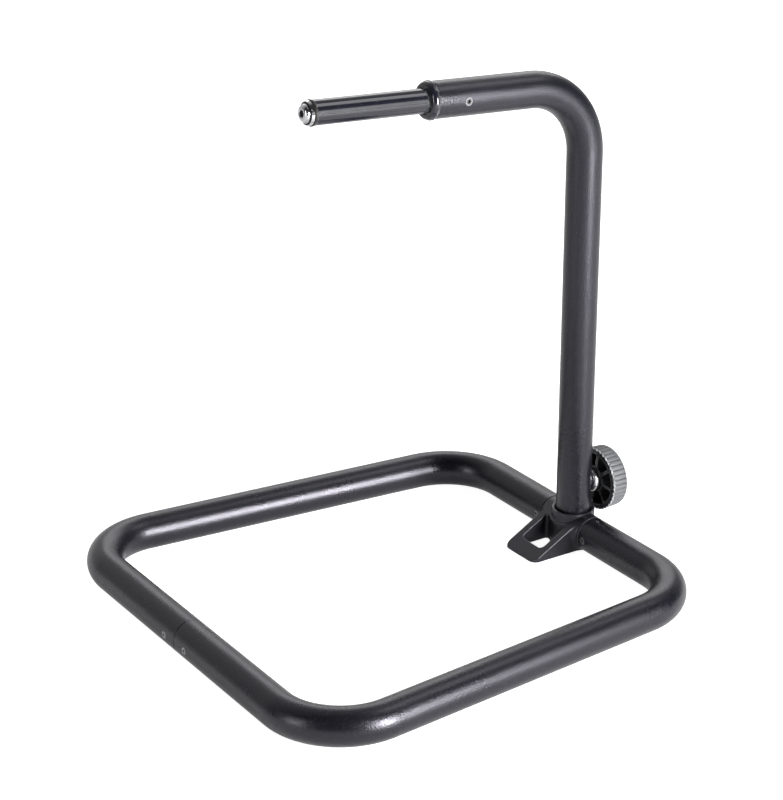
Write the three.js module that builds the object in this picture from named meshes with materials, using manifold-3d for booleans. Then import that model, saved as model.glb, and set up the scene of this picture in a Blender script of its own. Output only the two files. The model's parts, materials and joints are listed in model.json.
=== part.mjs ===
// Bike stand that carries a bicycle on a peg through its hollow crank spindle.
// Millimetres, +Z up. The origin is on the floor, under the axis of the upright post.
// The floor loop runs from the post towards -X, the peg points the same way, and the
// clamp knob is on the +X side.

import * as THREE from 'three';
import { mergeVertices } from 'three/addons/utils/BufferGeometryUtils.js';
import Module from 'manifold-3d';

const wasm = await Module();
wasm.setup();

// Fits
const gap = 0.3; // between pieces that touch or slide on each other
const cutMargin = 2; // how far a cutter runs past the face it opens

// Floor loop: an isosceles trapezoid of round tube, narrow at the post
const tubeRadius = 14;
const tubeWall = 2;
const loopDepth = 344.5;
const nearHalfWidth = 146.6;
const farHalfWidth = 177.6;
const loopBendRadius = 51.8;
const seamSleeveHalfLength = 32;
const seamSleeveWall = 2;
const seamScrewOffset = 14.6;

// Upright post and arm, one bent tube
const postRadius = 13.6;
const postWall = 2;
const cornerHeight = 371;
const postBendRadius = 55.5;
const armRise = THREE.MathUtils.degToRad(3.6);
const armLength = 139.5;
const armScrewInset = 24.1; // from the arm's end

// Foot casting: a round barrel between the loop's tube ends, with a collar, a stub and a wedge
const wedgeHalfWidth = 19.5;
const wedgeFillet = 4; // round each side of the wedge, where it meets the round barrel
const barrelEnd = 1; // plain length of the barrel past each fillet
const wedgeReach = 52.5;
const wedgeTipThickness = 1.2;
const wedgeTipCorner = 6;
const windowFront = 40.5;
const windowHalfWidth = 13;
const windowCorner = 4;
const windowFillet = 2.5;
const windowLedge = 1.4; // left below the collar, all round its front
const collarWall = 3.1;
const collarRise = 0.5; // the collar, the stub and the knob's axis rise above the loop's tubes
const stubRise = 42;
const knobRise = 19.6;
const socketFloor = 8;
const spigotLength = 22;
const castingScrewInset = 5.5; // from the block's side

// Screws with a countersunk head and a hexagon socket
const smallScrew = { head: 2.7, shank: 1.6, length: 7, socket: 1.2 };
const armScrew = { head: 3.4, shank: 2, length: 6.8, socket: 1.6 };

// Clamp knob
const knobRadius = 25;
const knobThickness = 13.8;
const fluteCount = 38;
const fluteDepth = 0.5;
const gripWall = 1.9;
const spokeCount = 8;
const spokeWidth = 1.7;
const spokeTurn = THREE.MathUtils.degToRad(8);
const rimWidth = 2.2;
const hubRadius = 10.4;
const hubBoreClearance = 0.3;
const pocketFloor = 4;
const boltRadius = 4;
const boltHeadRadius = 6.6;
const boltHeadHeight = 5;
const boltTipInset = 3.3; // from the stub's far side
const slotClearance = 0.5;
const insertRadius = 6;
const insertInset = 6.6; // from the stub's far side
const washerRadius = 9.3;
const washerHeight = 3.6;
const slipWasherHeight = 2.2;

// Peg: a sleeve that turns on a fixed axle
const pegRadius = 9;
const pegWall = 1.5;
const pegLength = 91.9;
const pegChamfer = 0.8;
const bushWall = 0.9;
const bushLength = 14;
const endRingSection = 0.75;
const endWasherHeight = 2.3;
const endBoltRadius = 2.7;
const endBoltLength = 20;
const endBoltHeadHeight = 3.3;
const endBoltSocket = 2.6;
const holderDepth = 36;
const holderLip = 0.6; // the flange stands proud of the arm
const holderNose = 5.2;
const holderRecess = 1.6;
const noseRim = 1.2;

// Faces around each round piece
const tubeFacets = 24;
const bendSteps = 6;
const turnedFacets = 24;
const screwFacets = 12;

const paint = new THREE.MeshStandardMaterial({ color: 0x47474d, roughness: 0.6, metalness: 0.1 });
const castPaint = new THREE.MeshStandardMaterial({ color: 0x323236, roughness: 0.45, metalness: 0.1 });
const blackAnodised = new THREE.MeshStandardMaterial({ color: 0x1c1c20, roughness: 0.2, metalness: 0.8 });
const chrome = new THREE.MeshStandardMaterial({ color: 0xd8d8dc, roughness: 0.1, metalness: 1 });
const steel = new THREE.MeshStandardMaterial({ color: 0x9a9a9e, roughness: 0.35, metalness: 1 });
const blackSteel = new THREE.MeshStandardMaterial({ color: 0x2a2a2d, roughness: 0.4, metalness: 0.7 });
const brass = new THREE.MeshStandardMaterial({ color: 0xb08d4a, roughness: 0.35, metalness: 1 });
const blackPlastic = new THREE.MeshStandardMaterial({ color: 0x151517, roughness: 0.45, metalness: 0 });
const greyRubber = new THREE.MeshStandardMaterial({ color: 0x9c9fa1, roughness: 0.7, metalness: 0 });
const blackRubber = new THREE.MeshStandardMaterial({ color: 0x0d0d0e, roughness: 0.7, metalness: 0 });
const whiteNylon = new THREE.MeshStandardMaterial({ color: 0xd9d6cc, roughness: 0.5, metalness: 0 });

// A centreline of straight runs and round bends, with one step for each straight run and
// the same number of steps for each bend.
class BentCentreline extends THREE.Curve {
  constructor(corners, bendRadius) {
    super();
    this.places = [corners[0].clone()];
    this.headings = [corners[1].clone().sub(corners[0]).normalize()];
    for (let i = 1; i < corners.length - 1; i += 1) {
      this.addBend(corners[i - 1], corners[i], corners[i + 1], bendRadius);
    }
    this.places.push(corners[corners.length - 1].clone());
    this.headings.push(this.headings[this.headings.length - 1].clone());
    this.steps = this.places.length - 1;
  }

  addBend(before, corner, after, radius) {
    const heading = corner.clone().sub(before).normalize();
    const leaving = after.clone().sub(corner).normalize();
    const turn = heading.angleTo(leaving);
    const inward = leaving.clone().addScaledVector(heading, -Math.cos(turn)).normalize();
    const start = corner.clone().addScaledVector(heading, -radius * Math.tan(turn / 2));
    for (let i = 0; i <= bendSteps; i += 1) {
      const angle = (turn * i) / bendSteps;
      const place = start.clone().addScaledVector(heading, radius * Math.sin(angle));
      place.addScaledVector(inward, radius * (1 - Math.cos(angle)));
      const along = heading.clone().multiplyScalar(Math.cos(angle));
      this.places.push(place);
      this.headings.push(along.addScaledVector(inward, Math.sin(angle)));
    }
  }

  between(list, u, target) {
    const at = u * this.steps;
    const i = Math.min(Math.floor(at), this.steps - 1);
    return target.lerpVectors(list[i], list[i + 1], at - i);
  }

  getPointAt(u, target = new THREE.Vector3()) {
    return this.between(this.places, u, target);
  }

  getTangentAt(u, target = new THREE.Vector3()) {
    return this.between(this.headings, u, target).normalize();
  }
}

// Solids and booleans

function solidOf(geometry) {
  const bare = geometry.clone();
  bare.deleteAttribute('normal');
  bare.deleteAttribute('uv');
  const merged = mergeVertices(bare, 1e-4);
  const corners = merged.getIndex().array;
  const kept = [];
  for (let i = 0; i < corners.length; i += 3) {
    const [a, b, c] = corners.slice(i, i + 3);
    if (a !== b && b !== c && c !== a) {
      kept.push(a, b, c);
    }
  }
  const vertProperties = new Float32Array(merged.getAttribute('position').array);
  const triVerts = new Uint32Array(kept);
  return new wasm.Manifold(new wasm.Mesh({ numProp: 3, vertProperties, triVerts }));
}

function geometryOf(solid) {
  const mesh = solid.getMesh();
  const geometry = new THREE.BufferGeometry();
  geometry.setAttribute('position', new THREE.BufferAttribute(mesh.vertProperties, 3));
  geometry.setIndex(new THREE.BufferAttribute(mesh.triVerts, 1));
  geometry.computeVertexNormals();
  return geometry;
}

function carve(base, added, removed) {
  let solid = solidOf(base);
  for (const geometry of added) {
    solid = solid.add(solidOf(geometry));
  }
  for (const geometry of removed) {
    solid = solid.subtract(solidOf(geometry));
  }
  return geometryOf(solid);
}

function ringOfPoints(count, radiusAt, turned = 0) {
  const points = [];
  for (let i = 0; i < count; i += 1) {
    const angle = turned + (2 * Math.PI * i) / count;
    const radius = radiusAt(i);
    points.push(new THREE.Vector2(radius * Math.cos(angle), radius * Math.sin(angle)));
  }
  return points;
}

function tubeSection(outerRadius, wall) {
  const section = new THREE.Shape(ringOfPoints(tubeFacets, () => outerRadius));
  section.holes.push(new THREE.Path(ringOfPoints(tubeFacets, () => outerRadius - wall).reverse()));
  return section;
}

function sweptTube(centreline, outerRadius, wall) {
  return new THREE.ExtrudeGeometry(tubeSection(outerRadius, wall), {
    steps: centreline.steps,
    extrudePath: centreline,
  });
}

// A turned piece from [radius, height] points, with its axis along +Z. The points go up the
// outside, and a profile that doesn't touch the axis closes on itself as a ring.
function turned(profile, facets = turnedFacets) {
  const points = profile.map(([radius, height]) => new THREE.Vector2(radius, height));
  if (profile[0][0] > 0) {
    points.push(points[0].clone());
  }
  return new THREE.LatheGeometry(points, facets).rotateX(Math.PI / 2);
}

function rod(radius, from, to, facets = turnedFacets) {
  return turned([[0, from], [radius, from], [radius, to], [0, to]], facets);
}

function ring(innerRadius, outerRadius, from, to, facets = turnedFacets) {
  const profile = [[innerRadius, from], [outerRadius, from], [outerRadius, to], [innerRadius, to]];
  return turned(profile, facets);
}

function hexagonPrism(acrossCorners, from, to) {
  const shape = new THREE.Shape(ringOfPoints(6, () => acrossCorners / 2));
  return new THREE.ExtrudeGeometry(shape, { depth: to - from, bevelEnabled: false }).translate(0, 0, from);
}

function piece(parent, name, material, geometry) {
  const mesh = new THREE.Mesh(geometry, material.clone());
  mesh.name = name;
  parent.add(mesh);
  return mesh;
}

function frameAt(parent, place, turn) {
  const frame = new THREE.Group();
  frame.position.copy(place);
  frame.rotation.set(...turn);
  parent.add(frame);
  parent.updateWorldMatrix(true, true);
  return frame;
}

// A cutter drawn in a nested frame, carried to the stand's own frame
function inStand(geometry, frame) {
  return geometry.applyMatrix4(frame.matrixWorld);
}

// Screws lie along +Z with the top of the head at height 0

function screwBody({ head, shank, length, socket }) {
  const profile = [[0, -length], [shank, -length], [shank, shank - head], [head, -0.2], [head, 0], [0, 0]];
  const recess = hexagonPrism(2 * socket, -0.6 * head, cutMargin);
  return carve(turned(profile, screwFacets), [], [recess]);
}

function screwHole({ head, shank, length }) {
  const wide = head + gap;
  const narrow = shank + gap;
  const profile = [
    [0, -length - gap],
    [narrow, -length - gap],
    [narrow, shank - head],
    [wide, -0.2],
    [wide, cutMargin],
    [0, cutMargin],
  ];
  return turned(profile, screwFacets);
}

const stand = new THREE.Group();
const towardPeg = [0, -Math.PI / 2, 0]; // turns +Z to -X
const towardKnob = [0, Math.PI / 2, 0]; // turns +Z to +X

const blockHalfWidth = wedgeHalfWidth + wedgeFillet + barrelEnd;
const collarHeight = 2 * tubeRadius + collarRise;
const stubHeight = 2 * tubeRadius + stubRise;
const knobHeight = 2 * tubeRadius + knobRise;

// Frames of the flush screws in the floor loop, all facing -X
const farFace = -loopDepth - tubeRadius;
const castingScrewOffset = blockHalfWidth + castingScrewInset;
const seamScrewFrames = {};
const castingScrewFrames = {};
for (const [side, sign] of [['left', 1], ['right', -1]]) {
  const seamPlace = new THREE.Vector3(farFace, sign * seamScrewOffset, tubeRadius);
  const castingPlace = new THREE.Vector3(-tubeRadius, sign * castingScrewOffset, tubeRadius);
  seamScrewFrames[side] = frameAt(stand, seamPlace, towardPeg);
  castingScrewFrames[side] = frameAt(stand, castingPlace, towardPeg);
}

// Frames of the arm and of the knob. Their own +Z runs out along the peg and out along the
// clamp bolt, and heights in them start on the post's axis.
const armCorner = new THREE.Vector3(0, 0, cornerHeight);
const armFrame = frameAt(stand, armCorner, [0, armRise - Math.PI / 2, 0]);
const knobFrame = frameAt(stand, new THREE.Vector3(0, 0, knobHeight), towardKnob);
const armScrewSeat = new THREE.Vector3(0, -postRadius, armLength - armScrewInset);
const armScrewFrame = frameAt(armFrame, armScrewSeat, [Math.PI / 2, 0, 0]);

// Floor loop

function loopScrewHoles(frames) {
  return Object.values(frames).map((frame) => inStand(screwHole(smallScrew), frame));
}

function loopTube(side, sign) {
  const corners = [
    new THREE.Vector3(0, sign * (blockHalfWidth + gap), tubeRadius),
    new THREE.Vector3(0, sign * nearHalfWidth, tubeRadius),
    new THREE.Vector3(-loopDepth, sign * farHalfWidth, tubeRadius),
    new THREE.Vector3(-loopDepth, sign * gap / 2, tubeRadius),
  ];
  const centreline = new BentCentreline(corners, loopBendRadius);
  const holes = loopScrewHoles([seamScrewFrames[side], castingScrewFrames[side]]);
  return carve(sweptTube(centreline, tubeRadius, tubeWall), [], holes);
}

const boreRadius = tubeRadius - tubeWall; // inside the loop's tube
const sleeveRadius = boreRadius - gap;

function seamSleeve() {
  const half = seamSleeveHalfLength;
  const sleeve = ring(sleeveRadius - seamSleeveWall, sleeveRadius, -half, half);
  sleeve.rotateX(Math.PI / 2).translate(-loopDepth, 0, tubeRadius);
  return carve(sleeve, [], loopScrewHoles(seamScrewFrames));
}

// Foot casting

const stubRadius = postRadius - postWall - gap;
const socketRadius = postRadius + gap;
const collarRadius = socketRadius + collarWall;
const insertEnd = stubRadius - 2; // outer face of the threaded insert in the stub
const insertStart = insertInset - stubRadius;
const boltTip = boltTipInset - stubRadius;

// Side view: the tube's round with a straight tangent down to the wedge's tip
function castingSide(halfWidth) {
  const rise = tubeRadius - wedgeTipThickness;
  const distance = Math.hypot(wedgeReach, rise);
  const slope = Math.atan2(rise, wedgeReach) + Math.asin(tubeRadius / distance);
  const shape = new THREE.Shape();
  shape.moveTo(-wedgeReach, 0);
  shape.lineTo(0, 0);
  shape.absarc(0, tubeRadius, tubeRadius, -Math.PI / 2, Math.PI / 2 + slope, false);
  shape.lineTo(-wedgeReach, wedgeTipThickness);
  return new THREE.ExtrudeGeometry(shape, {
    depth: 2 * halfWidth,
    bevelEnabled: false,
    curveSegments: 12,
  }).rotateX(Math.PI / 2).translate(0, halfWidth, 0);
}

// Top view of the wedge, with round corners at its tip
function wedgePlan() {
  const cornerX = wedgeTipCorner - wedgeReach;
  const cornerY = wedgeHalfWidth - wedgeTipCorner;
  const shape = new THREE.Shape();
  shape.moveTo(tubeRadius + cutMargin, -wedgeHalfWidth);
  shape.lineTo(tubeRadius + cutMargin, wedgeHalfWidth);
  shape.absarc(cornerX, cornerY, wedgeTipCorner, Math.PI / 2, Math.PI, false);
  shape.absarc(cornerX, -cornerY, wedgeTipCorner, Math.PI, 1.5 * Math.PI, false);
  return new THREE.ExtrudeGeometry(shape, {
    depth: 2 * tubeRadius + 2 * cutMargin,
    bevelEnabled: false,
    curveSegments: 4,
  }).translate(0, 0, -cutMargin);
}

// The round barrel between the tube ends, widening in a fillet up to each side of the wedge
function castingBarrel() {
  const filletRadius = tubeRadius + wedgeFillet;
  const filletEnd = wedgeHalfWidth + wedgeFillet;
  const outline = new THREE.Path();
  outline.moveTo(0, -blockHalfWidth);
  outline.lineTo(tubeRadius, -blockHalfWidth);
  outline.absarc(filletRadius, -filletEnd, wedgeFillet, Math.PI, Math.PI / 2, true);
  outline.absarc(filletRadius, filletEnd, wedgeFillet, -Math.PI / 2, -Math.PI, true);
  outline.lineTo(tubeRadius, blockHalfWidth);
  outline.lineTo(0, blockHalfWidth);
  return new THREE.LatheGeometry(outline.getPoints(4), turnedFacets).translate(0, 0, tubeRadius);
}

// The window through the wedge, hollowed round the collar, with a fillet on each side of it
function windowCutter() {
  const wallRadius = collarRadius + windowLedge;
  const filletY = windowHalfWidth - windowFillet;
  const filletX = -Math.sqrt((wallRadius + windowFillet) ** 2 - filletY ** 2);
  const toCollar = Math.atan2(filletY, filletX);
  const cornerX = windowCorner - windowFront;
  const cornerY = windowHalfWidth - windowCorner;
  const shape = new THREE.Shape();
  shape.moveTo(filletX, windowHalfWidth);
  shape.absarc(cornerX, cornerY, windowCorner, Math.PI / 2, Math.PI, false);
  shape.absarc(cornerX, -cornerY, windowCorner, Math.PI, 1.5 * Math.PI, false);
  shape.absarc(filletX, -filletY, windowFillet, -Math.PI / 2, Math.PI - toCollar, false);
  shape.absarc(0, 0, wallRadius, -toCollar, toCollar - 2 * Math.PI, true);
  shape.absarc(filletX, filletY, windowFillet, toCollar - Math.PI, Math.PI / 2, false);
  return new THREE.ExtrudeGeometry(shape, {
    depth: collarHeight + 2 * cutMargin,
    bevelEnabled: false,
    curveSegments: 4,
  }).translate(0, 0, -cutMargin);
}

function footCasting() {
  const rimChamfer = 0.7;
  const spigotEnd = blockHalfWidth + spigotLength;
  const collar = turned([
    [0, 0],
    [collarRadius, 0],
    [collarRadius, collarHeight - rimChamfer],
    [collarRadius - rimChamfer, collarHeight],
    [0, collarHeight],
  ]);
  const groove = turned([
    [stubRadius, socketFloor],
    [socketRadius, socketFloor],
    [socketRadius, collarHeight - rimChamfer],
    [socketRadius + rimChamfer, collarHeight + gap],
    [socketRadius + rimChamfer, collarHeight + cutMargin],
    [stubRadius, collarHeight + cutMargin],
  ]);
  const stub = turned([
    [0, socketFloor - cutMargin],
    [stubRadius, socketFloor - cutMargin],
    [stubRadius, stubHeight - 2],
    [stubRadius - 2, stubHeight],
    [0, stubHeight],
  ]);
  const spigots = rod(sleeveRadius, -spigotEnd, spigotEnd).rotateX(Math.PI / 2).translate(0, 0, tubeRadius);
  const mouth = stubRadius + cutMargin;
  const insertBore = rod(insertRadius + gap, insertStart - gap, mouth);
  const boltBore = rod(boltRadius + gap, boltTip - 1, mouth);
  const screwHoles = loopScrewHoles(castingScrewFrames);
  const wedge = solidOf(castingSide(wedgeHalfWidth)).intersect(solidOf(wedgePlan()));
  const barrel = solidOf(castingBarrel()).intersect(solidOf(castingSide(blockHalfWidth)));
  const block = geometryOf(wedge.add(barrel));
  const socket = carve(block, [collar, spigots], [windowCutter(), groove, ...screwHoles]);
  return carve(socket, [stub], [inStand(insertBore, knobFrame), inStand(boltBore, knobFrame)]);
}

// Post and arm

function postTube() {
  const corners = [
    new THREE.Vector3(0, 0, socketFloor + gap),
    armCorner,
    new THREE.Vector3(0, 0, armLength).applyMatrix4(armFrame.matrixWorld),
  ];
  const centreline = new BentCentreline(corners, postBendRadius);
  const slotRadius = boltRadius + slotClearance;
  const slotEnd = rod(slotRadius, 0, postRadius + cutMargin, screwFacets);
  const slotLength = knobHeight - socketFloor + cutMargin;
  const slotRun = new THREE.BoxGeometry(slotLength, 2 * slotRadius, postRadius + cutMargin);
  slotRun.translate(slotLength / 2, 0, (postRadius + cutMargin) / 2);
  const cutters = [
    inStand(slotEnd, knobFrame),
    inStand(slotRun, knobFrame),
    inStand(screwHole(armScrew), armScrewFrame),
  ];
  return carve(sweptTube(centreline, postRadius, postWall), [], cutters);
}

const sleeveBore = pegRadius - pegWall;
const axleRadius = sleeveBore - gap - bushWall - gap;
const flangeFace = armLength + gap;
const noseFace = flangeFace + holderNose;
const pegStart = noseFace + 2 * gap;
const pegEnd = pegStart + pegLength;

// Plug in the arm's end that holds the axle, with the flange that a crank rests against
function pegHolder() {
  const plugRadius = postRadius - postWall - gap;
  const flangeRadius = postRadius + holderLip;
  const recessRadius = pegRadius + 0.8;
  const noseRadius = recessRadius + noseRim;
  const fall = flangeRadius - noseRadius;
  const profile = [
    [axleRadius + gap, armLength - holderDepth],
    [plugRadius, armLength - holderDepth],
    [plugRadius, flangeFace],
    [flangeRadius, flangeFace],
    [flangeRadius, noseFace - 0.73 * holderNose],
    [flangeRadius - 0.15 * fall, noseFace - 0.6 * holderNose],
    [flangeRadius - 0.25 * fall, noseFace - 0.38 * holderNose],
    [flangeRadius - 0.55 * fall, noseFace - 0.17 * holderNose],
    [noseRadius, noseFace],
    [recessRadius, noseFace],
    [recessRadius, noseFace - holderRecess],
    [axleRadius + gap, noseFace - holderRecess],
  ];
  const hole = screwHole(armScrew).applyMatrix4(armScrewFrame.matrix);
  return carve(turned(profile), [], [hole]);
}

// Peg

function pegAxle() {
  const tapped = rod(endBoltRadius + gap, pegEnd - endBoltLength, pegEnd + cutMargin, screwFacets);
  const dimple = screwHole(armScrew).applyMatrix4(armScrewFrame.matrix);
  return carve(rod(axleRadius, armLength - holderDepth, pegEnd), [], [tapped, dimple]);
}

function pegSleeve() {
  return turned([
    [sleeveBore, pegStart],
    [pegRadius - pegChamfer, pegStart],
    [pegRadius, pegStart + pegChamfer],
    [pegRadius, pegEnd],
    [sleeveBore, pegEnd],
  ]);
}

// Between the bottom of the holder's recess and the sleeve
function thrustWasher() {
  const seat = noseFace - holderRecess;
  return ring(axleRadius + gap, pegRadius - 0.4, seat + gap, pegStart - gap);
}

function bush(from) {
  return ring(axleRadius + gap, sleeveBore - gap, from, from + bushLength);
}

const endRingCentre = pegEnd + gap + endRingSection;
const endRingRadius = pegRadius + gap - endRingSection;
const washerFace = endRingCentre + endRingSection + gap; // inner face of the end washer
const washerTop = washerFace + endWasherHeight;

function endRing() {
  const profile = ringOfPoints(8, () => endRingSection, Math.PI / 8);
  return turned(profile.map((point) => [endRingRadius + point.x, endRingCentre + point.y]));
}

function endWasher() {
  const spigotRadius = endRingRadius - endRingSection - gap;
  return turned([
    [endBoltRadius + gap, pegEnd + gap],
    [spigotRadius, pegEnd + gap],
    [spigotRadius, washerFace],
    [pegRadius - 0.1, washerFace],
    [pegRadius - 0.7, washerTop],
    [endBoltRadius + gap, washerTop],
  ]);
}

function endBolt() {
  const seat = washerTop + gap;
  const top = seat + endBoltHeadHeight;
  const headRadius = pegRadius - 2.2;
  const profile = [
    [0, pegEnd - endBoltLength + gap],
    [endBoltRadius, pegEnd - endBoltLength + gap],
    [endBoltRadius, seat],
    [headRadius, seat],
    [headRadius, top - 0.91 * endBoltHeadHeight],
    [headRadius - 0.9, top - 0.6 * endBoltHeadHeight],
    [headRadius - 1.3, top - 0.4 * endBoltHeadHeight],
    [headRadius - 2.1, top - 0.15 * endBoltHeadHeight],
    [headRadius - 3.2, top],
    [0, top],
  ];
  const recess = hexagonPrism(2 * endBoltSocket, seat + 0.3 * endBoltHeadHeight, top + cutMargin);
  return carve(turned(profile), [], [recess]);
}

// Clamp knob. Heights are distances from the post's axis.

const washerSeat = postRadius + gap;
const slipWasherSeat = washerSeat + washerHeight + gap;
const coreFace = slipWasherSeat + slipWasherHeight + gap;
const knobInnerFace = coreFace + 0.5;
const knobOuterFace = knobInnerFace + knobThickness;
const coreRadius = knobRadius - gripWall - gap;
const capDepth = 2;

function knobOutline() {
  const shape = new THREE.Shape(ringOfPoints(2 * fluteCount, (i) => knobRadius - (i % 2) * fluteDepth));
  shape.holes.push(new THREE.Path(ringOfPoints(2 * turnedFacets, () => coreRadius + gap).reverse()));
  return shape;
}

function knobGrip() {
  return new THREE.ExtrudeGeometry(knobOutline(), {
    depth: knobOuterFace - knobInnerFace,
    bevelEnabled: false,
  }).translate(0, 0, knobInnerFace);
}

// One pocket between two spokes, with straight inner and side walls and a round outer wall
function pocketCutter(index) {
  const middle = spokeTurn + (2 * Math.PI * (index + 0.5)) / spokeCount;
  const half = Math.PI / spokeCount;
  const outer = coreRadius - rimWidth;
  const outerHalf = half - Math.asin(spokeWidth / 2 / outer);
  const innerHalf = half - Math.asin(spokeWidth / 2 / hubRadius);
  const shape = new THREE.Shape();
  shape.moveTo(hubRadius * Math.cos(innerHalf), -hubRadius * Math.sin(innerHalf));
  shape.absarc(0, 0, outer, -outerHalf, outerHalf, false);
  shape.lineTo(hubRadius * Math.cos(innerHalf), hubRadius * Math.sin(innerHalf));
  return new THREE.ExtrudeGeometry(shape, {
    depth: knobOuterFace - pocketFloor,
    bevelEnabled: false,
    curveSegments: 3,
  }).rotateZ(middle).translate(0, 0, coreFace - cutMargin);
}

function knobCore() {
  const headSeat = knobOuterFace - capDepth - boltHeadHeight - gap;
  const blank = turned([
    [boltRadius + hubBoreClearance, coreFace],
    [coreRadius, coreFace],
    [coreRadius, knobOuterFace],
    [coreRadius - rimWidth, knobOuterFace],
    [coreRadius - rimWidth, knobOuterFace - capDepth],
    [boltHeadRadius + gap, knobOuterFace - capDepth],
    [boltHeadRadius + gap, headSeat],
    [boltRadius + hubBoreClearance, headSeat],
  ], 2 * turnedFacets);
  const pockets = [];
  for (let i = 0; i < spokeCount; i += 1) {
    pockets.push(pocketCutter(i));
  }
  return carve(blank, [], pockets);
}

function knobBolt() {
  const headSeat = knobOuterFace - capDepth - boltHeadHeight;
  return carve(
    rod(boltRadius, boltTip, headSeat + 1, screwFacets),
    [hexagonPrism(2 * boltHeadRadius, headSeat, headSeat + boltHeadHeight - gap)],
    [],
  );
}

function knobCap() {
  const radius = coreRadius - rimWidth - gap;
  const seat = knobOuterFace - capDepth + gap;
  return turned([
    [0, seat],
    [radius, seat],
    [radius, knobOuterFace - 0.5],
    [radius - 1, knobOuterFace],
    [0, knobOuterFace],
  ]);
}

function clampWasher() {
  const bore = boltRadius + gap;
  return turned([
    [bore, washerSeat],
    [washerRadius - 2.6, washerSeat],
    [washerRadius - 0.7, washerSeat + 1.6],
    [washerRadius, washerSeat + 2.6],
    [washerRadius, washerSeat + washerHeight],
    [bore, washerSeat + washerHeight],
  ]);
}

function slipWasher() {
  const top = slipWasherSeat + slipWasherHeight;
  return ring(boltRadius + gap, washerRadius - 1.5, slipWasherSeat, top);
}

function threadedInsert() {
  return ring(boltRadius + gap, insertRadius, insertStart, insertEnd);
}

for (const [side, sign] of [['left', 1], ['right', -1]]) {
  piece(stand, `base_tube_${side}`, paint, loopTube(side, sign));
  piece(seamScrewFrames[side], `seam_screw_${side}`, steel, screwBody(smallScrew));
  piece(castingScrewFrames[side], `casting_screw_${side}`, blackSteel, screwBody(smallScrew));
}
piece(stand, 'seam_sleeve', steel, seamSleeve());
piece(stand, 'foot_casting', castPaint, footCasting());

piece(stand, 'post_tube', paint, postTube());
piece(armScrewFrame, 'arm_screw', steel, screwBody(armScrew));
piece(armFrame, 'peg_holder', blackAnodised, pegHolder());
piece(armFrame, 'peg_axle', steel, pegAxle());
piece(armFrame, 'peg_sleeve', blackAnodised, pegSleeve());
piece(armFrame, 'inner_bush', brass, bush(pegStart + 1));
piece(armFrame, 'outer_bush', brass, bush(pegEnd - 1 - bushLength));
piece(armFrame, 'thrust_washer', whiteNylon, thrustWasher());
piece(armFrame, 'end_ring', blackRubber, endRing());
piece(armFrame, 'end_washer', chrome, endWasher());
piece(armFrame, 'end_bolt', chrome, endBolt());

piece(knobFrame, 'threaded_insert', steel, threadedInsert());
piece(knobFrame, 'clamp_washer', chrome, clampWasher());
piece(knobFrame, 'slip_washer', whiteNylon, slipWasher());
piece(knobFrame, 'knob_core', blackPlastic, knobCore());
piece(knobFrame, 'knob_grip', greyRubber, knobGrip());
piece(knobFrame, 'knob_bolt', steel, knobBolt());
piece(knobFrame, 'knob_cap', blackPlastic, knobCap());

export default stand;
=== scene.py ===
import json
import math

import bmesh
import bpy
from mathutils import Matrix, Vector


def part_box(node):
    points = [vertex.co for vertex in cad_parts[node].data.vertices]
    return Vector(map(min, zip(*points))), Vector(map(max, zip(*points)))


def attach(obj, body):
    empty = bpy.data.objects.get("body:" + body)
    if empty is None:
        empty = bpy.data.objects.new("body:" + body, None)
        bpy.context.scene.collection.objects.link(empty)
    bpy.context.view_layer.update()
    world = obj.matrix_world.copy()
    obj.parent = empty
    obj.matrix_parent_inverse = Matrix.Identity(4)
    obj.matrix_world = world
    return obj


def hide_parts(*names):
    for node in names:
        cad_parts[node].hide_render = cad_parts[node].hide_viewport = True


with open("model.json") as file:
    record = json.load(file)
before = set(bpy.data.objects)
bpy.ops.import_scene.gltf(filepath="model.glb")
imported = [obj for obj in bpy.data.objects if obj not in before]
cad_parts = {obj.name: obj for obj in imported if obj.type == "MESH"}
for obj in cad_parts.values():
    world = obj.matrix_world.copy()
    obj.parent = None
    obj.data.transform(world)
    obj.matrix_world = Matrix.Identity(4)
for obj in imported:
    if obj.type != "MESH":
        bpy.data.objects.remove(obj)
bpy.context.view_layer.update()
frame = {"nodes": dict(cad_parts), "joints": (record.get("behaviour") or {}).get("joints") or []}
unit = 0.001  # sizes below are millimetres, and every finished mesh is in metres

joints = {joint["name"]: joint for joint in frame["joints"]}


def axisFrame(jointName):
    # Z runs along the joint's axis, and the origin is where that axis meets the post's
    along = Vector(joints[jointName]["axis"]).normalized()
    place = Vector(joints[jointName]["pos_m"]) / unit
    place -= along * (place.x / along.x)
    side = Vector((0, 1, 0))
    turn = Matrix((side.cross(along), side, along)).transposed()
    return Matrix.Translation(place) @ turn.to_4x4()


armFrame = axisFrame("peg_spin")
knobFrame = axisFrame("knob_turn")
towardPeg = Matrix.Rotation(math.radians(-90), 4, "Y")  # Z to -X, for the loop's screws


def nodeBox(node):
    low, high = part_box(node)
    return low / unit, high / unit


def placed(bm, matrix):
    bmesh.ops.transform(bm, matrix=matrix, verts=bm.verts)
    return bm


def arc(centre, radius, start, end, steps):
    # points of a round stretch, angles in degrees
    angles = [math.radians(start + (end - start) * i / steps) for i in range(steps + 1)]
    return [(centre[0] + radius * math.cos(a), centre[1] + radius * math.sin(a)) for a in angles]


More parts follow.
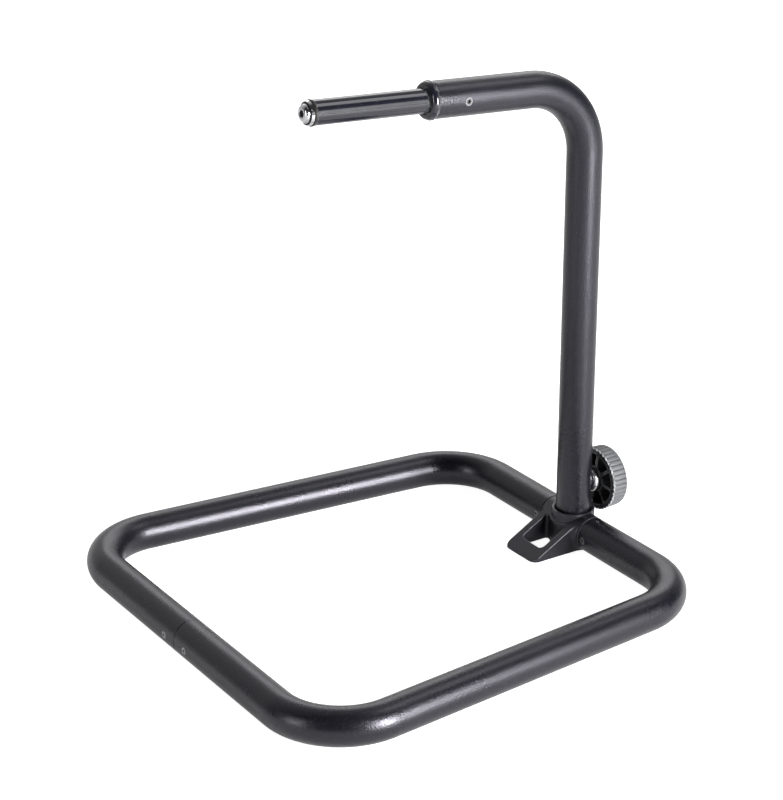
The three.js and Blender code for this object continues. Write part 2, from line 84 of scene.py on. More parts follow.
def turned(profile, steps=96):
    # (radius, height) points up the outside, spun round Z; off the axis it closes as a ring
    bm = bmesh.new()
    verts = [bm.verts.new((radius, 0, height)) for radius, height in profile]
    pairs = list(zip(verts, verts[1:]))
    if profile[0][0] > 0:
        pairs.append((verts[-1], verts[0]))
    edges = [bm.edges.new(pair) for pair in pairs]
    bmesh.ops.spin(
        bm, geom=verts + edges, cent=(0, 0, 0), axis=(0, 0, 1), angle=2 * math.pi, steps=steps, use_merge=True
    )
    bmesh.ops.remove_doubles(bm, verts=bm.verts, dist=0.001)
    bmesh.ops.recalc_face_normals(bm, faces=bm.faces)
    return bm


def prism(sides, radius, low, high):
    bm = bmesh.new()
    middle = Matrix.Translation((0, 0, (low + high) / 2))
    bmesh.ops.create_cone(
        bm, cap_ends=True, segments=sides, radius1=radius, radius2=radius, depth=high - low, matrix=middle
    )
    return bm


def slab(outline, low, high):
    # a flat outline in XY raised from low to high
    bm = bmesh.new()
    face = bm.faces.new([bm.verts.new((x, y, low)) for x, y in outline])
    raised = bmesh.ops.extrude_face_region(bm, geom=[face])["geom"]
    tops = [item for item in raised if isinstance(item, bmesh.types.BMVert)]
    bmesh.ops.translate(bm, vec=(0, 0, high - low), verts=tops)
    bmesh.ops.recalc_face_normals(bm, faces=bm.faces)
    return bm


def rounded(bm, width, segments=3, sharperThan=35, where=None):
    limit = math.radians(sharperThan)
    edges = [edge for edge in bm.edges if len(edge.link_faces) == 2 and edge.calc_face_angle() > limit]
    if where:
        edges = [edge for edge in edges if where((edge.verts[0].co + edge.verts[1].co) / 2)]
    bmesh.ops.bevel(
        bm, geom=edges, offset=width, affect="EDGES", segments=segments, profile=0.5, material=-1
    )
    return bm


def standIn(bm):
    mesh = bpy.data.meshes.new("shaping")
    bm.to_mesh(mesh)
    bm.free()
    made = bpy.data.objects.new("shaping", mesh)
    bpy.context.scene.collection.objects.link(made)
    return made


def thrownAway(made):
    mesh = made.data
    bpy.data.objects.remove(made)
    bpy.data.meshes.remove(mesh)


def modified(bm, *steps):
    # runs modifiers on a mesh, each given as its kind and its settings
    made = standIn(bm)
    for kind, settings in steps:
        modifier = made.modifiers.new(kind.lower(), kind)
        for setting, value in settings.items():
            setattr(modifier, setting, value)
    bpy.context.view_layer.update()
    result = bmesh.new()
    result.from_object(made, bpy.context.evaluated_depsgraph_get())
    thrownAway(made)
    return result


def combined(bm, operation, *tools):
    made = [standIn(tool) for tool in tools]
    steps = [("BOOLEAN", {"operation": operation, "object": tool, "solver": "EXACT"}) for tool in made]
    result = modified(bm, *steps)
    for tool in made:
        thrownAway(tool)
    return result


def finished(name, bm, material, body, nodes=(), smoothBelow=35):
    bmesh.ops.scale(bm, vec=(unit, unit, unit), verts=bm.verts)
    mesh = bpy.data.meshes.new(name)
    bm.to_mesh(mesh)
    bm.free()
    mesh.shade_smooth()
    mesh.set_sharp_from_angle(angle=math.radians(smoothBelow))
    mesh.materials.append(material)
    piece = bpy.data.objects.new(name, mesh)
    bpy.context.scene.collection.objects.link(piece)
    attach(piece, body)
    if nodes:
        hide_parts(*nodes)


def newNode(tree, kind, inputs=None, **settings):
    made = tree.nodes.new(kind)
    for setting, value in settings.items():
        setattr(made, setting, value)
    for socket, value in (inputs or {}).items():
        made.inputs[socket].default_value = value
    return made


view = {
    "target": (-171.66, 0, 159.06),
    "azimuth": -33.43,
    "elevation": 22.74,
    "distance": 1739.6,
    "lens": 107.085,
    "sensor": 36,
    "clipEnd": 50,
}
studio = {
    "floorSize": 14,
    "floorColour": (0.75, 0.75, 0.75),
    "floorRoughness": 0.9,
    "floorGlow": 0.35,  # lights the stand from below
    "floorSeen": 0.92,  # what the camera sees of it
    "roomColour": (1, 1, 1),
    "roomLight": 0.045,
    "roomSeen": 1.05,
    "backdropLight": 0.75,
    "backdropSide": (0.15, 0.88, 0.3),
    "backdropSpread": (0.25, 0.9),
}
# azimuth and elevation of the beam, distance, width, height and power of each lamp
lamps = {
    "key_right": (17, 8, 2.2, 0.5, 1.3, 160),
    "key_far_right": (36, 12, 2.2, 0.9, 0.9, 8),
    "fill_left": (-86, 12, 2.4, 0.3, 1.2, 16),
    "top_back": (140, 30, 2.6, 2.0, 0.9, 14),
    "ceiling": (72, 57, 2.4, 0.9, 0.9, 9),
}


def viewDirection(azimuth, elevation):
    across, up = math.radians(azimuth), math.radians(elevation)
    return Vector((-math.sin(across) * math.cos(up), math.cos(across) * math.cos(up), -math.sin(up)))


def setCamera():
    lookAlong = viewDirection(view["azimuth"], view["elevation"])
    camera = bpy.data.objects.new("camera", bpy.data.cameras.new("camera"))
    camera.location = (Vector(view["target"]) - lookAlong * view["distance"]) * unit
    camera.rotation_euler = lookAlong.to_track_quat("-Z", "Y").to_euler()
    camera.data.lens = view["lens"]
    camera.data.sensor_width = view["sensor"]
    camera.data.clip_end = view["clipEnd"]
    bpy.context.scene.collection.objects.link(camera)
    bpy.context.scene.camera = camera


def softBox(name, azimuth, elevation, distance, width, height, power):
    # a rectangular lamp that shines along a direction at the middle of the stand
    lookAlong = viewDirection(azimuth, elevation)
    lamp = bpy.data.objects.new(name, bpy.data.lights.new(name, "AREA"))
    lamp.data.shape = "RECTANGLE"
    lamp.data.size = width
    lamp.data.size_y = height
    lamp.data.energy = power
    lamp.location = Vector(view["target"]) * unit - lookAlong * distance
    lamp.rotation_euler = lookAlong.to_track_quat("-Z", "Y").to_euler()
    bpy.context.scene.collection.objects.link(lamp)


def seenStrength(tree, socket, light, seen):
    # one strength for what lights the stand, and another for what the camera sees
    ray = newNode(tree, "ShaderNodeLightPath")
    strength = newNode(tree, "ShaderNodeMapRange", {"To Min": light, "To Max": seen})
    tree.links.new(ray.outputs["Is Camera Ray"], strength.inputs["Value"])
    tree.links.new(strength.outputs["Result"], socket)
    return strength


def setRoom():
    # a dim room with a white backdrop on one side
    world = bpy.data.worlds.new("studio")
    world.use_nodes = True
    tree = world.node_tree
    background = tree.nodes["Background"]
    background.inputs["Color"].default_value = (*studio["roomColour"], 1)
    direction = newNode(tree, "ShaderNodeTexCoord")
    towards = newNode(tree, "ShaderNodeVectorMath", operation="DOT_PRODUCT")
    towards.inputs[1].default_value = Vector(studio["backdropSide"]).normalized()
    start, full = studio["backdropSpread"]
    room = newNode(tree, "ShaderNodeMapRange", {"From Min": start, "From Max": full})
    room.inputs["To Min"].default_value = studio["roomLight"]
    room.inputs["To Max"].default_value = studio["backdropLight"]
    strength = seenStrength(tree, background.inputs["Strength"], 0, studio["roomSeen"])
    tree.links.new(direction.outputs["Generated"], towards.inputs[0])
    tree.links.new(towards.outputs["Value"], room.inputs["Value"])
    tree.links.new(room.outputs["Result"], strength.inputs["To Min"])
    bpy.context.scene.world = world
    bpy.context.scene.view_settings.view_transform = "Standard"


def setFloor():
    bm = bmesh.new()
    bmesh.ops.create_grid(bm, x_segments=1, y_segments=1, size=studio["floorSize"] / 2)
    mesh = bpy.data.meshes.new("floor")
    bm.to_mesh(mesh)
    bm.free()
    floor = bpy.data.objects.new("floor", mesh)
    bpy.context.scene.collection.objects.link(floor)
    material = bpy.data.materials.new("pale_floor")
    material.use_nodes = True
    shader = material.node_tree.nodes["Principled BSDF"]
    shader.inputs["Base Color"].default_value = (*studio["floorColour"], 1)
    shader.inputs["Roughness"].default_value = studio["floorRoughness"]
    shader.inputs["Emission Color"].default_value = (1, 1, 1, 1)
    glow = shader.inputs["Emission Strength"]
    seenStrength(material.node_tree, glow, studio["floorGlow"], studio["floorSeen"])
    mesh.materials.append(material)


setCamera()
setRoom()
setFloor()
for lampName, lampSetting in lamps.items():
    softBox(lampName, *lampSetting)
print("camera, floor and light set")


def groupSockets(tree, inputs, outputs):
    for name, value in inputs.items():
        socket = tree.interface.new_socket(name=name, in_out="INPUT", socket_type="NodeSocketFloat")
        socket.default_value = value
    for name, kind in outputs.items():
        tree.interface.new_socket(name=name, in_out="OUTPUT", socket_type=kind)


def grainGroup():
    # the fine orange peel of a textured coat: a height, and a mask of its tips, which the powder coat paints
    # lighter as a painted highlight
    tree = bpy.data.node_groups.new("coat_grain", "ShaderNodeTree")
    groupSockets(tree, {"Grains": 900, "Tips": 0.5}, {"Height": "NodeSocketFloat", "Mask": "NodeSocketFloat"})
    given = newNode(tree, "NodeGroupInput")
    result = newNode(tree, "NodeGroupOutput")
    place = newNode(tree, "ShaderNodeTexCoord")
    coarse = newNode(tree, "ShaderNodeTexNoise", {"Detail": 3, "Roughness": 0.6})
    cells = newNode(tree, "ShaderNodeTexVoronoi", {"Randomness": 1}, feature="SMOOTH_F1")
    cellShare = newNode(tree, "ShaderNodeMath", {1: 0.35}, operation="MULTIPLY")
    mixed = newNode(tree, "ShaderNodeMath", operation="SUBTRACT")
    tips = newNode(tree, "ShaderNodeMapRange", {"From Max": 0.85})
    link = tree.links.new
    link(place.outputs["Object"], coarse.inputs["Vector"])
    link(place.outputs["Object"], cells.inputs["Vector"])
    link(given.outputs["Grains"], coarse.inputs["Scale"])
    link(given.outputs["Grains"], cells.inputs["Scale"])
    link(coarse.outputs["Fac"], mixed.inputs[0])
    link(cells.outputs["Distance"], cellShare.inputs[0])
    link(cellShare.outputs[0], mixed.inputs[1])
    link(mixed.outputs[0], result.inputs["Height"])
    link(coarse.outputs["Fac"], tips.inputs["Value"])
    link(given.outputs["Tips"], tips.inputs["From Min"])
    link(tips.outputs["Result"], result.inputs["Mask"])
    return tree


def edgeWearAndHighlightGroup():
    # a mask of the outer edges, for edge wear and for a painted highlight where a rounded edge catches the
    # light
    tree = bpy.data.node_groups.new("edge_wear_and_highlight", "ShaderNodeTree")
    groupSockets(tree, {"Width": 0.0005, "Amount": 1}, {"Mask": "NodeSocketFloat"})
    given = newNode(tree, "NodeGroupInput")
    result = newNode(tree, "NodeGroupOutput")
    softNormal = newNode(tree, "ShaderNodeBevel", samples=4)
    surface = newNode(tree, "ShaderNodeNewGeometry")
    match = newNode(tree, "ShaderNodeVectorMath", operation="DOT_PRODUCT")
    edge = newNode(tree, "ShaderNodeMapRange", {"From Min": 0.998, "From Max": 0.95})
    outward = newNode(tree, "ShaderNodeMapRange", {"From Min": 0.47, "From Max": 0.5})
    outerEdge = newNode(tree, "ShaderNodeMath", operation="MULTIPLY")
    patchy = newNode(tree, "ShaderNodeTexNoise", {"Scale": 260, "Detail": 4})
    place = newNode(tree, "ShaderNodeTexCoord")
    broken = newNode(tree, "ShaderNodeMapRange", {"From Min": 0.35, "From Max": 0.6, "To Min": 0.35})
    worn = newNode(tree, "ShaderNodeMath", operation="MULTIPLY")
    amount = newNode(tree, "ShaderNodeMath", operation="MULTIPLY")
    link = tree.links.new
    link(given.outputs["Width"], softNormal.inputs["Radius"])
    link(softNormal.outputs["Normal"], match.inputs[0])
    link(surface.outputs["Normal"], match.inputs[1])
    link(match.outputs["Value"], edge.inputs["Value"])
    link(place.outputs["Object"], patchy.inputs["Vector"])
    link(patchy.outputs["Fac"], broken.inputs["Value"])
    link(surface.outputs["Pointiness"], outward.inputs["Value"])
    link(edge.outputs["Result"], outerEdge.inputs[0])
    link(outward.outputs["Result"], outerEdge.inputs[1])
    link(outerEdge.outputs[0], worn.inputs[0])
    link(broken.outputs["Result"], worn.inputs[1])
    link(worn.outputs[0], amount.inputs[0])
    link(given.outputs["Amount"], amount.inputs[1])
    link(amount.outputs[0], result.inputs["Mask"])
    return tree


def handlingGroup():
    # broad soft marks of dust and handling
    tree = bpy.data.node_groups.new("handling_marks", "ShaderNodeTree")
    groupSockets(tree, {"Spread": 22, "Fine": 160}, {"Mask": "NodeSocketFloat", "Speck": "NodeSocketFloat"})
    given = newNode(tree, "NodeGroupInput")
    result = newNode(tree, "NodeGroupOutput")
    place = newNode(tree, "ShaderNodeTexCoord")
    broad = newNode(tree, "ShaderNodeTexNoise", {"Detail": 5, "Roughness": 0.65, "Distortion": 0.4})
    fine = newNode(tree, "ShaderNodeTexNoise", {"Detail": 6, "Roughness": 0.7})
    softened = newNode(tree, "ShaderNodeMapRange", {"From Min": 0.35, "From Max": 0.7})
    specks = newNode(tree, "ShaderNodeMapRange", {"From Min": 0.62, "From Max": 0.8})
    link = tree.links.new
    link(place.outputs["Object"], broad.inputs["Vector"])
    link(place.outputs["Object"], fine.inputs["Vector"])
    link(given.outputs["Spread"], broad.inputs["Scale"])
    link(given.outputs["Fine"], fine.inputs["Scale"])
    link(broad.outputs["Fac"], softened.inputs["Value"])
    link(fine.outputs["Fac"], specks.inputs["Value"])
    link(softened.outputs["Result"], result.inputs["Mask"])
    link(specks.outputs["Result"], result.inputs["Speck"])
    return tree


grain = grainGroup()
edgeWearAndHighlight = edgeWearAndHighlightGroup()
handling = handlingGroup()


def newFinish(name, **values):
    # a material with its constant values on the shader's own sockets
    material = bpy.data.materials.new(name)
    material.use_nodes = True
    tree = material.node_tree
    shader = tree.nodes["Principled BSDF"]
    for socket, value in values.items():
        shader.inputs[socket.replace("_", " ")].default_value = value
    return material, tree, shader


def useGroup(tree, group, **values):
    made = newNode(tree, "ShaderNodeGroup", node_tree=group)
    for socket, value in values.items():
        made.inputs[socket].default_value = value
    return made


def colourOver(tree, mask, under, marked):
    # a colour that shows through a mask, over a plain one or over the output of another mix
    mix = newNode(tree, "ShaderNodeMix", data_type="RGBA")
    if isinstance(under, tuple):
        mix.inputs["A"].default_value = (*under, 1)
    else:
        tree.links.new(under, mix.inputs["A"])
    mix.inputs["B"].default_value = (*marked, 1)
    tree.links.new(mask, mix.inputs["Factor"])
    return mix.outputs["Result"]


def surfaced(tree, shader, colour, marks, roughness, grains, bump, bumpDepth):
    # the colour, a gloss that changes with the marks, and the grain's relief
    gloss = newNode(tree, "ShaderNodeMapRange", {"To Min": roughness[0], "To Max": roughness[1]})
    relief = newNode(tree, "ShaderNodeBump", {"Strength": bump, "Distance": bumpDepth})
    tree.links.new(marks.outputs["Mask"], gloss.inputs["Value"])
    tree.links.new(grains.outputs["Height"], relief.inputs["Height"])
    tree.links.new(colour, shader.inputs["Base Color"])
    tree.links.new(gloss.outputs["Result"], shader.inputs["Roughness"])
    tree.links.new(relief.outputs["Normal"], shader.inputs["Normal"])


powderCoatLook = {
    "colour": (0.0035, 0.0035, 0.0055),
    "dustColour": (0.005, 0.005, 0.0075),
    "edgeWearAndHighlightColour": (0.035, 0.035, 0.04),
    "tipHighlightColour": (0.027, 0.027, 0.038),
    "roughness": (0.26, 0.32),
    "specular": 0.44,
    "tint": (0.93, 0.90, 1.0, 1),
    "grains": {"Grains": 850, "Tips": 0.56},
    "marks": {"Spread": 16, "Fine": 240},
    "edges": {"Width": 0.0006, "Amount": 0.7},
    "bump": 0.85,
    "bumpDepth": 0.0002,
}


def powderCoat():
    look = powderCoatLook
    material, tree, shader = newFinish(
        "charcoal_powder_coat", Specular_Tint=look["tint"], Specular_IOR_Level=look["specular"]
    )
    grains = useGroup(tree, grain, **look["grains"])
    marks = useGroup(tree, handling, **look["marks"])
    edges = useGroup(tree, edgeWearAndHighlight, **look["edges"])
    colour = colourOver(tree, marks.outputs["Mask"], look["colour"], look["dustColour"])
    # the grain's tips painted lighter: a painted highlight
    colour = colourOver(tree, grains.outputs["Mask"], colour, look["tipHighlightColour"])
    # the outer edges painted lighter: partly wear, partly a painted highlight
    colour = colourOver(tree, edges.outputs["Mask"], colour, look["edgeWearAndHighlightColour"])
    surfaced(tree, shader, colour, marks, look["roughness"], grains, look["bump"], look["bumpDepth"])
    return material


castPaintLook = {
    "colour": (0.004, 0.004, 0.006),
    "dustColour": (0.006, 0.006, 0.009),
    "edgeWearAndHighlightColour": (0.17, 0.17, 0.18),
    "roughness": (0.36, 0.46),
    "tint": (0.93, 0.90, 1.0, 1),
    "grains": {"Grains": 420, "Tips": 0.6},
    "marks": {"Spread": 40, "Fine": 300},
    "edges": {"Width": 0.0009, "Amount": 0.9},
    "bump": 0.18,
    "bumpDepth": 0.0001,
}


def castPaint():
    look = castPaintLook
    material, tree, shader = newFinish("satin_cast_paint", Specular_Tint=look["tint"])
    grains = useGroup(tree, grain, **look["grains"])
    marks = useGroup(tree, handling, **look["marks"])
    edges = useGroup(tree, edgeWearAndHighlight, **look["edges"])
    colour = colourOver(tree, marks.outputs["Mask"], look["colour"], look["dustColour"])
    # the outer edges and the collar's chamfer painted lighter: partly wear, partly a painted highlight
    colour = colourOver(tree, edges.outputs["Mask"], colour, look["edgeWearAndHighlightColour"])
    surfaced(tree, shader, colour, marks, look["roughness"], grains, look["bump"], look["bumpDepth"])
    return material


metalLook = {
    "coatRoughness": 0.08,
    "grains": {"Grains": 1600, "Tips": 0.6},
    "marks": {"Spread": 70, "Fine": 500},
    "edges": {"Width": 0.0004, "Amount": 0.8},
    "bumpDepth": 0.00004,
}


def metalFinish(name, colour, markColour, roughness, metallic=1.0, coat=0.0, brushed=0.0, edge=None):
    # plated, oxided, anodised and bare metals, with faint handling marks
    look = metalLook
    material, tree, shader = newFinish(
        name, Metallic=metallic, Coat_Weight=coat, Coat_Roughness=look["coatRoughness"]
    )
    grains = useGroup(tree, grain, **look["grains"])
    marks = useGroup(tree, handling, **look["marks"])
    tone = colourOver(tree, marks.outputs["Mask"], colour, markColour)
    # a light edge colour, where given, is partly wear and partly a painted highlight
    if edge:
        edges = useGroup(tree, edgeWearAndHighlight, **look["edges"])
        tone = colourOver(tree, edges.outputs["Mask"], tone, edge)
    surfaced(tree, shader, tone, marks, roughness, grains, brushed, look["bumpDepth"])
    return material


mouldedLook = {
    "tips": 0.55,
    "marks": {"Spread": 60, "Fine": 420},
    "edges": {"Width": 0.0009, "Amount": 1},
    "bumpDepth": 0.00012,
}


def mouldedFinish(name, colour, markColour, roughness, grainCount, bump, edge=None):
    # plastics and rubbers from a mould
    look = mouldedLook
    material, tree, shader = newFinish(name)
    grains = useGroup(tree, grain, Grains=grainCount, Tips=look["tips"])
    marks = useGroup(tree, handling, **look["marks"])
    tone = colourOver(tree, marks.outputs["Mask"], colour, markColour)
    # a light edge colour, where given, is partly wear and partly a painted highlight
    if edge:
        edges = useGroup(tree, edgeWearAndHighlight, **look["edges"])
        tone = colourOver(tree, edges.outputs["Mask"], tone, edge)
    surfaced(tree, shader, tone, marks, roughness, grains, bump, look["bumpDepth"])
    return material


gripLook = {
    "colour": (0.092, 0.094, 0.099),
    "markColour": (0.074, 0.076, 0.08),
    "grooveShadeColour": (0.022, 0.023, 0.025),
    "grooveRadii": (0.0234, 0.0243),
    "roughness": (0.5, 0.65),
    "specular": 0.3,
    "grains": {"Grains": 1100, "Tips": 0.55},
    "bump": 0.4,
}


def gripRubber():
    # light rubber, with painted shade in its grooves, which lie nearer the knob's axis
    look = gripLook
    material, tree, shader = newFinish("grey_grip", Specular_IOR_Level=look["specular"])
    grains = useGroup(tree, grain, **look["grains"])
    marks = useGroup(tree, handling, **mouldedLook["marks"])
    place = newNode(tree, "ShaderNodeTexCoord")
    fromAxis = newNode(tree, "ShaderNodeVectorMath", operation="SUBTRACT")
    fromAxis.inputs[1].default_value = knobFrame.translation * unit
    across = newNode(tree, "ShaderNodeVectorMath", {1: (0, 1, 1)}, operation="MULTIPLY")
    radius = newNode(tree, "ShaderNodeVectorMath", operation="LENGTH")
    low, high = look["grooveRadii"]
    ridge = newNode(tree, "ShaderNodeMapRange", {"From Min": low, "From Max": high})
    grooves = newNode(tree, "ShaderNodeMath", {0: 1}, operation="SUBTRACT")
    tree.links.new(place.outputs["Object"], fromAxis.inputs[0])
    tree.links.new(fromAxis.outputs[0], across.inputs[0])
    tree.links.new(across.outputs[0], radius.inputs[0])
    tree.links.new(radius.outputs["Value"], ridge.inputs["Value"])
    tree.links.new(ridge.outputs["Result"], grooves.inputs[1])
    tone = colourOver(tree, marks.outputs["Mask"], look["colour"], look["markColour"])
    # the grooves painted darker: painted shade
    tone = colourOver(tree, grooves.outputs[0], tone, look["grooveShadeColour"])
    surfaced(tree, shader, tone, marks, look["roughness"], grains, look["bump"], mouldedLook["bumpDepth"])
    return material


coatFinish = powderCoat()
castFinish = castPaint()
# its light edge colour is partly wear and partly a painted highlight
anodisedFinish = metalFinish(
    "black_anodised",
    (0.005, 0.005, 0.009),
    (0.009, 0.009, 0.014),
    (0.12, 0.17),
    metallic=0,
    coat=0.1,
    brushed=0.08,
    edge=(0.42, 0.42, 0.44),
)
chromeFinish = metalFinish("chrome_plate", (0.58, 0.58, 0.60), (0.5, 0.5, 0.52), (0.12, 0.2))
washerFinish = metalFinish("bright_plate", (0.85, 0.85, 0.87), (0.7, 0.7, 0.72), (0.22, 0.3))
zincFinish = metalFinish("zinc_plate", (0.13, 0.13, 0.135), (0.09, 0.09, 0.095), (0.4, 0.5), brushed=0.2)
dullZincFinish = metalFinish(
    "dull_zinc_plate", (0.3, 0.3, 0.31), (0.22, 0.22, 0.23), (0.4, 0.5), metallic=0.3
)
# its light edge colour is a painted highlight ring round the screw heads, with some wear
oxideFinish = metalFinish(
    "black_oxide", (0.05, 0.05, 0.054), (0.07, 0.07, 0.075), (0.3, 0.4), metallic=0.2, edge=(0.4, 0.4, 0.42)
)
steelFinish = metalFinish("machined_steel", (0.5, 0.5, 0.52), (0.38, 0.38, 0.40), (0.22, 0.34), brushed=0.25)
brassFinish = metalFinish("bearing_bronze", (0.60, 0.42, 0.18), (0.45, 0.31, 0.14), (0.25, 0.36), brushed=0.2)
# its light edge colour gives the spokes' edges a painted highlight, with some wear
coreFinish = mouldedFinish(
    "black_nylon", (0.026, 0.028, 0.029), (0.036, 0.038, 0.039), (0.26, 0.36), 700, 0.1, (0.5, 0.51, 0.52)
)
gripFinish = gripRubber()
ringFinish = mouldedFinish(
    "black_rubber", (0.003, 0.003, 0.003), (0.006, 0.006, 0.006), (0.55, 0.7), 900, 0.2
)
print("materials made")

loopTube = {
    "wall": 2,
    "nearHalfWidth": 146.6,
    "farHalfWidth": 177.6,
    "bendRadius": 51.8,
    "nearEnd": 24.8,
    "facets": 96,
    "bendSteps": 24,
    "rimRounding": 0.45,
}
loopScrew = {
    "head": 2.7,
    "shank": 1.6,
    "length": 7,
    "socket": 1.25,
    "seamOffset": 14.6,
    "castingOffset": 30,
    "ringReach": 4.2,
}
postTube = {
    "wall": 2,
    "foot": 8.3,
    "armLength": 139.5,
    "bendRadius": 55.5,
    "slotRadius": 4.5,
    "facets": 96,
    "bendSteps": 32,
    "rimRounding": 0.7,
}
armScrew = {"head": 3.4, "shank": 2, "length": 6.8, "socket": 1.65, "place": 115.4, "ringReach": 5}
# what all the flush screws share; the socket's depth is a share of the head's radius
flushScrew = {
    "headGap": 0.25,
    "shankGap": 0.3,
    "edge": 0.25,
    "dish": 0.2,
    "tipChamfer": 0.4,
    "socketDepth": 0.62,
    "facets": 48,
}
rimFlat = 0.4  # past a rim's rounding, to the ring that keeps its shading local


def bentTube(corners, radius, size):
    # a circle run along the corners, straight between them and spun round each bend
    bendRadius = size["bendRadius"]
    corners = [Vector(corner) for corner in corners]
    heading = (corners[1] - corners[0]).normalized()
    bm = bmesh.new()
    start = Matrix.Translation(corners[0]) @ heading.to_track_quat("Z", "X").to_matrix().to_4x4()
    bmesh.ops.create_circle(bm, cap_ends=False, segments=size["facets"], radius=radius, matrix=start)
    ends = bm.edges[:]
    place = corners[0]
    for index in range(1, len(corners)):
        last = index == len(corners) - 1
        if last:
            run = (corners[index] - place).length
        else:
            leaving = (corners[index + 1] - corners[index]).normalized()
            turn = heading.angle(leaving)
            run = (corners[index] - place).length - bendRadius * math.tan(turn / 2)
        raised = bmesh.ops.extrude_edge_only(bm, edges=ends)["geom"]
        moved = [item for item in raised if isinstance(item, bmesh.types.BMVert)]
        ends = [item for item in raised if isinstance(item, bmesh.types.BMEdge)]
        bmesh.ops.translate(bm, vec=heading * run, verts=moved)
        place = place + heading * run
        if last:
            break
        axis = heading.cross(leaving).normalized()
        centre = place + axis.cross(heading) * bendRadius
        spun = bmesh.ops.spin(
            bm,
            geom=moved + ends,
            cent=centre,
            axis=axis,
            angle=turn,
            steps=size["bendSteps"],
            use_duplicate=False,
        )
        ends = [item for item in spun["geom_last"] if isinstance(item, bmesh.types.BMEdge)]
        place = centre + Matrix.Rotation(turn, 3, axis) @ (place - centre)
        heading = leaving
    bmesh.ops.remove_doubles(bm, verts=bm.verts, dist=0.001)
    bmesh.ops.recalc_face_normals(bm, faces=bm.faces)
    bmesh.ops.solidify(bm, geom=bm.faces[:], thickness=size["wall"])
    return rounded(bm, size["rimRounding"], sharperThan=60)


def ringAcross(bm, place, heading):
    # an extra ring of edges, which keeps the shading of a hole or a rounded rim local
    bmesh.ops.bisect_plane(
        bm, geom=bm.verts[:] + bm.edges[:] + bm.faces[:], dist=0.0001, plane_co=place, plane_no=heading
    )


def screwRecess(size):
    head, shank = size["head"] + flushScrew["headGap"], size["shank"] + flushScrew["shankGap"]
    end = -size["length"]
    profile = [(0, end), (shank, end), (shank, shank - head), (head, -0.2), (head, 2), (0, 2)]
    return turned(profile, flushScrew["facets"])


def countersunkScrew(size):
    head, shank, end = size["head"], size["shank"], -size["length"]
    edge, dish, chamfer = flushScrew["edge"], flushScrew["dish"], flushScrew["tipChamfer"]
    body = turned(
        [
            (0, end),
            (shank - chamfer, end),
            (shank, end + chamfer),
            (shank, shank - head),
            (head, -edge - 0.1),
            (head, -edge),
            (head - edge, 0),
            (size["socket"] + 0.35, 0),
            (size["socket"] + 0.1, -dish),
            (0, -dish),
        ],
        flushScrew["facets"],
    )
    return combined(body, "DIFFERENCE", prism(6, size["socket"], -flushScrew["socketDepth"] * head, 1))


def socketShadeDisc(name, size, place, body):
    # a black disc at the bottom of a screw's socket: painted shade
    floor = -flushScrew["socketDepth"] * size["head"]
    disc = prism(flushScrew["facets"], size["socket"] + 0.1, floor - 0.2, floor + 0.5)
    finished(name, placed(disc, place), ringFinish, body, ())


def makeLoopTube(side, sign):
    low, high = nodeBox("base_tube_" + side)
    radius = high.z / 2
    farX = low.x + radius
    seam = sign * min(abs(low.y), abs(high.y))
    corners = [
        (farX, seam, radius),
        (farX, sign * loopTube["farHalfWidth"], radius),
        (0, sign * loopTube["nearHalfWidth"], radius),
        (0, sign * loopTube["nearEnd"], radius),
    ]
    tube = bentTube(corners, radius, loopTube)
    ringInset = loopTube["rimRounding"] + rimFlat
    for end in (seam + sign * ringInset, sign * (loopTube["nearEnd"] + ringInset)):
        ringAcross(tube, (0, end, 0), (0, 1, 0))
    screws = (
        (farX - radius, "seamOffset", "seam_screw_", dullZincFinish, "zinc_screws"),
        (-radius, "castingOffset", "casting_screw_", oxideFinish, "black_screws"),
    )
    recesses = []
    for face, offset, *_ in screws:
        seat = Vector((face, sign * loopScrew[offset], radius))
        for step in (-loopScrew["ringReach"], loopScrew["ringReach"]):
            ringAcross(tube, seat + Vector((0, step, 0)), (0, 1, 0))
        recesses.append(placed(screwRecess(loopScrew), Matrix.Translation(seat) @ towardPeg))
    tube = combined(tube, "DIFFERENCE", *recesses)
    finished("loop_tube_" + side, tube, coatFinish, "base", ["base_tube_" + side])
    for face, offset, name, finish, slot in screws:
        place = Matrix.Translation((face, sign * loopScrew[offset], radius)) @ towardPeg
        screw = placed(countersunkScrew(loopScrew), place)
        finished(name + side + "_head", screw, finish, "base", [name + side])
        socketShadeDisc(name + side + "_socket_shade_disc", loopScrew, place, "base")


def makePostTube():
    radius = nodeBox("post_tube")[1].x
    armEnd = armFrame @ Vector((0, 0, postTube["armLength"]))
    tube = bentTube([(0, 0, postTube["foot"]), armFrame.translation, armEnd], radius, postTube)
    along = armFrame.to_3x3() @ Vector((0, 0, 1))
    seat = armFrame @ Vector((0, -radius, armScrew["place"]))
    for step in (-armScrew["ringReach"], armScrew["ringReach"]):
        ringAcross(tube, seat + along * step, along)
    ringAcross(tube, armEnd - along * (postTube["rimRounding"] + rimFlat), along)
    screwPlace = armFrame @ Matrix.Translation((0, -radius, armScrew["place"]))
    screwPlace = screwPlace @ Matrix.Rotation(math.radians(90), 4, "X")
    # the slot that passes the clamp bolt is open at the post's foot
    half, past = postTube["slotRadius"], radius + 4
    knobHeight = knobFrame.translation.z
    ringAcross(tube, (0, 0, knobHeight + half + 2), (0, 0, 1))
    slotEnd = placed(prism(48, half, 2, past), knobFrame)
    slotRun = slab([(2, -half), (past, -half), (past, half), (2, half)], 0, knobHeight)
    recess = placed(screwRecess(armScrew), screwPlace)
    tube = combined(tube, "DIFFERENCE", recess, slotEnd, slotRun)
    finished("post_and_arm", tube, coatFinish, "post", ["post_tube"])
    screw = placed(countersunkScrew(armScrew), screwPlace)
    finished("arm_screw_head", screw, zincFinish, "post", ["arm_screw"])
    socketShadeDisc("arm_screw_socket_shade_disc", armScrew, screwPlace, "post")


makeLoopTube("left", 1)
makeLoopTube("right", -1)
makePostTube()
print("tubes and flush screws made")

